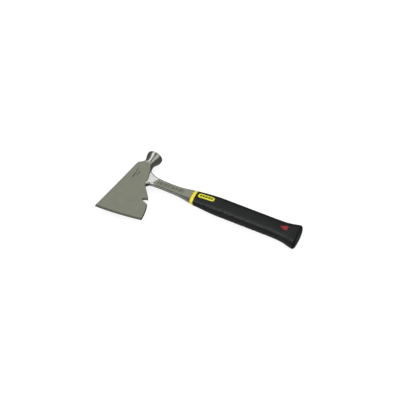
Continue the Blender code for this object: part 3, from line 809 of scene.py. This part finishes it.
def conform(outline, steps, sgn, cap_inset=12):
    """A plug that follows the grip's surface.  steps are (inset, height above the
    surface), from its underside up and over to its middle."""
    bm = bmesh.new()
    rows = []
    n = len(outline)
    cx = sum(p[0] for p in outline) / n
    cy = sum(p[1] for p in outline) / n

    def at(x, y, h):
        return bm.verts.new((x, y, sgn * (height(x, y) + h)))

    for d, h in steps:
        rows.append([at(x, y, h) for x, y in inset(outline, d)])
    # shrink the last outline towards the middle line in rings, so that it follows the curve
    last = inset(outline, steps[-1][0])
    first = inset(outline, steps[0][0])
    for k in (0.8, 0.6, 0.4, 0.2):
        rows.append([at(cx + (x - cx) * k, cy + (y - cy) * k, steps[-1][1]) for x, y in last])
        rows.insert(0, [at(cx + (x - cx) * k, cy + (y - cy) * k, steps[0][1]) for x, y in first])
    for a, b in zip(rows, rows[1:]):
        for i in range(n):
            j = (i + 1) % n
            bm.faces.new((a[i], a[j], b[j], b[i]))
    for r, h in ((rows[0], steps[0][1]), (rows[-1], steps[-1][1])):
        c = at(cx, cy, h)
        for i in range(n):
            bm.faces.new((r[i], r[(i + 1) % n], c))
    return bm


grip = put("grip_rubber_sleeve", grip_solid(), M["rubber"])
cutters = [put("tmp_bore", core_solid(48, GRIP_X0 - 3, 286.3, GAP), M["rubber"]),
           put("tmp_plug", loft([oval(283, PLUG_A + GAP, PLUG_B + GAP, 64, 0, BUTT_Y),
                                 oval(303, PLUG_A + GAP, PLUG_B + GAP, 64, 0, BUTT_Y)]), M["rubber"])]
BADGE = outline_stadium(BADGE_X0, BADGE_X1, BADGE_Y, BADGE_HALF, 4.0)
MARK = outline_mark(MARK_X0, MARK_X1, MARK_Y, MARK_HALF)
for sgn in (1, -1):
    cutters.append(put(f"tmp_b{sgn}", conform(BADGE, [(-0.3, -1.35), (-0.3, 4.0)], sgn), M["rubber"]))
    cutters.append(put(f"tmp_m{sgn}", conform(MARK, [(-0.3, -1.35), (-0.3, 4.0)], sgn), M["rubber"]))
boolean(grip, cutters)

pieces = [(forging, "forged_body", "steel"), (grip, "grip_sleeve", "rubber")]
extras = []


def rounded_top(proud, r):
    return [(r * (1 - math.sin(math.radians(a))), proud - r * (1 - math.cos(math.radians(a))))
            for a in (90, 65, 40, 15)][::1]


def bars(name, items, z_of, low, top, mat, sgn):
    """Small raised bars that follow a surface.  Each item is its four corners."""
    bm = bmesh.new()
    for quad in items:
        cx = sum(p[0] for p in quad) / 4
        cy = sum(p[1] for p in quad) / 4
        rows = []
        for h, s in ((low, 1.0), (top - 0.04, 1.0), (top, 0.88)):
            r = []
            for i in range(4):
                a, b = quad[i], quad[(i + 1) % 4]
                for k in range(4):
                    f = k / 4
                    x, y = a[0] + (b[0] - a[0]) * f, a[1] + (b[1] - a[1]) * f
                    x, y = cx + (x - cx) * s, cy + (y - cy) * s
                    r.append(bm.verts.new((x, y, sgn * (z_of(x, y) + h))))
            rows.append(r)
        for a, b in zip(rows, rows[1:]):
            for i in range(16):
                j = (i + 1) % 16
                bm.faces.new((a[i], a[j], b[j], b[i]))
        bm.faces.new(rows[0])
        bm.faces.new(rows[-1])
    return put(name, bm, mat)


def slant(x, y, w, h, lean):
    return [(x - w / 2 - lean / 2, y - h / 2), (x + w / 2 - lean / 2, y - h / 2),
            (x + w / 2 + lean / 2, y + h / 2), (x - w / 2 + lean / 2, y + h / 2)]


for sgn, side_name in ((1, "front"), (-1, "rear")):
    badge = put(f"badge_plate_{side_name}",
                conform(BADGE, [(0.25, -1.0), (0.0, -0.8), (0.0, 0.0), (0.12, 0.17), (0.35, 0.25)], sgn),
                M["badge"])
    pieces.append((badge, f"badge_{side_name}", "yellow_badge"))
    # a plain row of slanted bars stands in for the lettering
    items = [slant(117.3 + 4.9 * i, BADGE_Y, 4.0, 3.7, 1.0) for i in range(5)]
    extras.append((bars(f"badge_motif_{side_name}", items, height, 0.05, 0.34, M["motif"], sgn), "yellow_badge"))
    mark = put(f"marker_inlay_{side_name}",
               conform(inset(MARK, 0.95), [(0.2, -1.0), (0.0, -0.8), (0.0, 0.05), (0.12, 0.2), (0.35, 0.25)], sgn),
               M["red"])
    pieces.append((mark, f"marker_{side_name}", "red"))
    bm = bmesh.new()                              # dark red border of the marker
    prof = [(0.0, -0.9), (0.0, 0.0), (0.1, 0.12), (0.4, 0.17), (0.75, 0.10), (0.9, 0.0), (0.9, -0.9)]
    rows = [[bm.verts.new((x, y, sgn * (height(x, y) + h))) for x, y in inset(MARK, d)] for d, h in prof]
    n = len(MARK)
    for a, b in zip(rows, rows[1:] + rows[:1]):
        for i in range(n):
            j = (i + 1) % n
            bm.faces.new((a[i], a[j], b[j], b[i]))
    extras.append((put(f"marker_border_{side_name}", bm, M["red_dark"]), "red"))

    # shank: a plain row of slanted bars in the sunk panel
    def floor_z(x, y):
        return table(THICK, x) - PANEL_DEPTH

    widths = [2.3, 3.2, 1.6, 3.2, 2.3, 1.6, 3.2, 2.3, 1.6, 3.2, 1.6]
    items, x = [], 34.0
    for i, w in enumerate(widths):
        lean = 1.0
        items.append(slant(x + w / 2, -0.4 + 0.012 * (x - 34), w, 6.2 + 0.02 * (x - 34), lean))
        x += w + 2.35
    extras.append((bars(f"shank_bars_{side_name}", items, floor_z, -0.2, 0.16, M["etch"], sgn), "steel"))

    # cheek: a plain etched line and two short bars
    def cheek_z(x, y):
        return cheek(y)

    items = [[(-11.9, -9.6), (-10.0, -9.6), (-10.3, 13.0), (-11.0, 13.0)],
             [(-6.3, 2.2), (-4.5, 2.2), (-4.2, 6.8), (-5.9, 6.8)],
             [(-7.5, -3.0), (-5.9, -3.0), (-5.6, 0.6), (-7.2, 0.6)]]
    extras.append((bars(f"cheek_mark_{side_name}", items, cheek_z, -0.25, 0.035, M["etch_dark"], sgn), "steel"))

# ------------------------------------------------------------------ collar ring
prof = [(COLLAR_X0, 12.45, 7.95), (COLLAR_X0 + 0.12, 12.65, 8.15), (COLLAR_X0 + 0.5, 12.85, 8.4),
        (COLLAR_X0 + 1.4, 13.05, 8.7), (COLLAR_X0 + 2.6, 13.22, 8.95), (COLLAR_X0 + 3.4, 13.30, 9.06),
        (COLLAR_X0 + 4.4, 13.36, 9.14), (COLLAR_X1 - 0.7, 13.40, 9.19), (COLLAR_X1 - 0.25, 13.32, 9.12),
        (COLLAR_X1, 13.1, 8.9)]
collar = put("collar_band", loft([oval(x, a, b, 128, 0, AXIS_Y[0][1]) for x, a, b in prof]), M["yellow"])
bore = put("tmp_cb", loft([section(x, -10.95, 10.95, 5.75, 2.7, 8, 4) for x in (99, 110)]), M["yellow"])
boolean(collar, [bore])
pieces.append((collar, "collar_ring", "yellow"))

# the butt plug, with a shallow dish and a rim
bm = loft([oval(x, PLUG_A - d, PLUG_B - d, 96, 0, BUTT_Y)
           for x, d in ((286.6, 0.8), (287.4, 0.0), (298.3, 0.0), (298.75, 0.25), (298.9, 0.7), (298.85, 1.6),
                        (298.2, 2.3), (298.1, 3.0), (298.05, 5.0))])
pieces.append((put("butt_plug_cap", bm, M["plug"]), "butt_plug", "plug"))

# ------------------------------------------------------------------ carried-over nodes
for node, mat in (("core_half_front", "core"), ("core_half_rear", "core"), ("fork_damper", "damper")):
    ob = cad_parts[node]
    for s in ob.material_slots:
        s.material = M[mat]

for ob, node, slot_name in pieces:
    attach(ob, "root")
    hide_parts(node)
for ob, slot_name in extras:
    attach(ob, "root")

# ------------------------------------------------------------------ camera
AZ, EL, DIST = math.radians(26.37), math.radians(50.8), 1700.0
back = Vector((math.sin(AZ) * math.cos(EL), -math.cos(AZ) * math.cos(EL), math.sin(EL)))
right = Vector((math.cos(AZ), math.sin(AZ), 0.0))
up = back.cross(right)
cam = bpy.data.objects.new("camera", bpy.data.cameras.new("camera"))
bpy.context.scene.collection.objects.link(cam)
cam.data.sensor_width = 36.0
cam.data.lens = DIST / 1.72 * 36.0 / 400.0
cam.data.shift_x = (200.0 - 196.649) / 400.0
cam.data.shift_y = (199.464 - 200.0) / 400.0
cam.data.clip_end = 50.0
rot = Matrix((right, up, back)).transposed().to_4x4()
cam.matrix_world = Matrix.Translation(row(Vector((110, -2, 0)) + back * DIST)) @ rot
bpy.context.scene.camera = cam

# ------------------------------------------------------------------ floor
bm = bmesh.new()
bmesh.ops.create_grid(bm, x_segments=8, y_segments=8, size=6.0)
me = bpy.data.meshes.new("floor")
bm.to_mesh(me)
bm.free()
floor = bpy.data.objects.new("floor", me)
bpy.context.scene.collection.objects.link(floor)
floor.location.z = LO.z - 0.0003
n = Nodes("floor_pale")
f = n.noise(6.0, 2.0, 0.5)
me.materials.append(n.done(n.mix(f, (0.21, 0.21, 0.21), (0.23, 0.23, 0.23)), 0.9, 0.0, Specular_IOR_Level=0.1,
                           Emission_Color=(1.0, 1.0, 1.0, 1.0), Emission_Strength=0.82))
floor.visible_glossy = False


# ------------------------------------------------------------------ lights
def softbox(name, at, size, radiance, aim=(0, 0, 0.016), colour=(1, 1, 1)):
    d = bpy.data.lights.new(name, "AREA")
    d.shape = "RECTANGLE"
    d.size, d.size_y = size
    d.energy = radiance * math.pi * size[0] * size[1]
    d.color = colour
    ob = bpy.data.objects.new(name, d)
    bpy.context.scene.collection.objects.link(ob)
    z = (Vector(at) - Vector(aim)).normalized()
    x = Vector((1, 0, 0))
    x = (x - z * x.dot(z)).normalized()
    y = z.cross(x)
    ob.matrix_world = Matrix.Translation(Vector(at)) @ Matrix((x, y, z)).transposed().to_4x4()
    return ob


def strip(name, x0, x1, y0, y1, z, radiance, turn=0.0):
    """A long panel overhead, facing straight down, turned about its own middle."""
    ob = softbox(name, ((x0 + x1) / 2, (y0 + y1) / 2, z), (x1 - x0, y1 - y0), radiance,
                 aim=((x0 + x1) / 2, (y0 + y1) / 2, 0.0))
    ob.matrix_world = ob.matrix_world @ Matrix.Rotation(math.radians(turn), 4, "Z")
    return ob


strip("strip_left", -1.22, -0.42, -0.7, 2.7, 1.55, 1.22, turn=9.5)
strip("strip_right", 0.57, 2.57, -0.7, 2.7, 1.55, 0.58)
softbox("front_panel", (-0.60, -1.75, 1.30), (1.05, 1.35), 5.2)
softbox("side_panel", (1.20, -1.32, 1.40), (0.8, 0.8), 4.2)
fill = softbox("overhead_fill", (0.0, 0.0, 3.0), (4.0, 4.0), 1.7)
fill.visible_glossy = False
front = softbox("front_fill", (0.6, -3.0, 1.6), (3.0, 2.0), 0.9)
front.visible_glossy = False

world = bpy.data.worlds.new("studio")
bpy.context.scene.world = world
world.use_nodes = True
wt = world.node_tree
bg = wt.nodes["Background"]


def wnode(kind, **kw):
    n = wt.nodes.new(kind)
    for k, v in kw.items():
        setattr(n, k, v)
    return n


def wramp(x, a, b, c, d):
    n = wnode("ShaderNodeMapRange", interpolation_type="SMOOTHSTEP")
    wt.links.new(x, n.inputs["Value"])
    for k, v in (("From Min", a), ("From Max", b), ("To Min", c), ("To Max", d)):
        n.inputs[k].default_value = v
    return n.outputs["Result"]


def wmath(op, a, b):
    n = wnode("ShaderNodeMath", operation=op)
    for v, sock in ((a, n.inputs[0]), (b, n.inputs[1])):
        if isinstance(v, (int, float)):
            sock.default_value = v
        else:
            wt.links.new(v, sock)
    return n.outputs[0]


# dim studio walls, a slightly lighter ceiling, and a pale table below and in front
sep = wnode("ShaderNodeSeparateXYZ")
wt.links.new(wnode("ShaderNodeTexCoord").outputs["Generated"], sep.inputs[0])
X, Z = sep.outputs["X"], sep.outputs["Z"]
ceiling = wramp(Z, 0.25, 0.9, 0.105, 0.20)
table_below = wmath("MULTIPLY", wramp(Z, -0.75, -0.15, 0.34, 0.0), wramp(X, -0.15, 0.45, 1.0, 0.12))
table_below = wmath("MULTIPLY", table_below, wramp(sep.outputs["Y"], -0.3, 0.5, 1.0, 0.3))
strength = wmath("ADD", ceiling, table_below)
lp = wnode("ShaderNodeLightPath")
mx = wnode("ShaderNodeMix", data_type="FLOAT")
wt.links.new(lp.outputs["Is Camera Ray"], mx.inputs[0])
wt.links.new(strength, mx.inputs[2])
mx.inputs[3].default_value = 1.0
wt.links.new(mx.outputs[0], bg.inputs["Strength"])
bg.inputs["Color"].default_value = (1, 1, 1, 1)

bpy.context.scene.view_settings.view_transform = "Standard"
bpy.context.scene.view_settings.look = "None"
